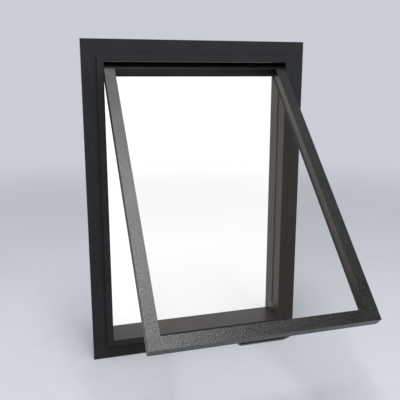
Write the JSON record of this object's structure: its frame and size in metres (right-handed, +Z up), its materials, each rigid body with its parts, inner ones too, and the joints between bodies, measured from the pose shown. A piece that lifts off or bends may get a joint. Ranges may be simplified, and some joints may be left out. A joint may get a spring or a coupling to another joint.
{
  "type": "window sash with crank",
  "caption": "Top-hung outward-opening window: dark box frame with wall flange, slim glazed sash, folding crank with worm drive in the jamb, and a lever lock on the sash.",
  "frame": {"origin": "centre of the four fixing-lug holes, on the room-side wall face", "axes": "+Z up, +Y into the room, +X to the right seen from outside; the sash is drawn open 45 degrees"},
  "size_m": [0.7, 0.7579, 1],
  "materials": {
    "frame_paint": "satin powder coat",
    "sash_paint": "fine textured metallic coat",
    "glass": "clear float glass",
    "steel": "zinc-plated",
    "cast_alloy": "as cast",
    "brass": "machined",
    "nylon": "natural nylon",
    "rubber": "matt",
    "housing_paint": "satin powder coat",
    "black_metal": "satin black",
    "black_plastic": "moulded"
  },
  "bodies": {
    "frame": {"frame_head": "frame_paint", "frame_sill": "frame_paint", "frame_jamb_left": "frame_paint", "frame_jamb_right": "frame_paint", "frame_corner_keys": "cast_alloy", "fixing_lugs": "steel", "wall_seal": "rubber", "stop_seals": "rubber", "shaft_bush_inner": "nylon", "shaft_bush_outer": "nylon", "pivot_bush_right": "nylon", "rod_bush_top": "nylon", "rod_bush_middle": "nylon", "rod_bush_bottom": "nylon", "strike_plates": "black_metal", "gear_housing": "housing_paint", "housing_cover": "housing_paint", "cover_screws": "steel", "crank_bush": "nylon"},
    "sash": {"sash_top_rail": "sash_paint", "sash_bottom_rail": "sash_paint", "sash_stile_left": "sash_paint", "sash_stile_right": "sash_paint", "sash_corner_keys": "cast_alloy", "glass_pane": "glass", "glazing_tape": "rubber", "glazing_beads": "sash_paint", "hinge_shaft": "steel", "hinge_block_left": "cast_alloy", "hinge_block_right": "cast_alloy", "pivot_pin_right": "steel", "worm_wheel": "brass", "lock_base": "black_metal", "lock_screws": "steel"},
    "drive": {"drive_rod": "steel", "worm": "steel", "rod_bevel_gear": "brass"},
    "crank": {"crank_shaft": "steel", "crank_bevel_gear": "brass", "crank_hub": "black_metal", "arm_pin": "steel"},
    "arm": {"crank_arm": "black_metal", "knob_pin": "steel"},
    "knob": {"crank_knob": "black_plastic"},
    "lever": {"lock_lever": "black_metal", "lock_spindle": "steel", "lock_pinion": "brass"},
    "bolt_left": {"lock_bolt_left": "steel"},
    "bolt_right": {"lock_bolt_right": "steel"}
  },
  "joints": [
    {"name": "sash_swing", "type": "hinge", "parent": "frame", "child": "sash", "pos_m": [0, -0.0796, 0.4285], "axis": [-1, 0, 0], "range_deg": [-45, 5]},
    {"name": "drive_spin", "type": "hinge", "parent": "frame", "child": "drive", "pos_m": [-0.29625, -0.0491, 0], "axis": [0, 0, 1], "range_deg": [-1802, 202]},
    {"name": "crank_spin", "type": "hinge", "parent": "frame", "child": "crank", "pos_m": [-0.29625, 0.0226, -0.18], "axis": [0, -1, 0], "range_deg": [-1802, 202]},
    {"name": "arm_fold", "type": "hinge", "parent": "crank", "child": "arm", "pos_m": [-0.29625, 0.0316, -0.18], "axis": [1, 0, 0], "range_deg": [0, 160]},
    {"name": "knob_spin", "type": "hinge", "parent": "arm", "child": "knob", "pos_m": [-0.29625, 0.0416, -0.258], "axis": [0, 1, 0], "continuous": true},
    {"name": "lock_turn", "type": "hinge", "parent": "sash", "child": "lever", "pos_m": [-0.058, -0.66544, -0.18562], "axis": [0, -0.7071, 0.7071], "range_deg": [0, 90]},
    {"name": "bolt_left_slide", "type": "slide", "parent": "sash", "child": "bolt_left", "axis": [-1, 0, 0], "range_m": [0, 0.0096]},
    {"name": "bolt_right_slide", "type": "slide", "parent": "sash", "child": "bolt_right", "axis": [1, 0, 0], "range_m": [0, 0.0096]}
  ],
  "couplings": [
    {"joint": "drive_spin", "follows": "sash_swing", "ratio": 40},
    {"joint": "crank_spin", "follows": "sash_swing", "ratio": 40},
    {"joint": "bolt_left_slide", "follows": "lock_turn", "m_per_rad": 0.006},
    {"joint": "bolt_right_slide", "follows": "lock_turn", "m_per_rad": 0.006}
  ]
}
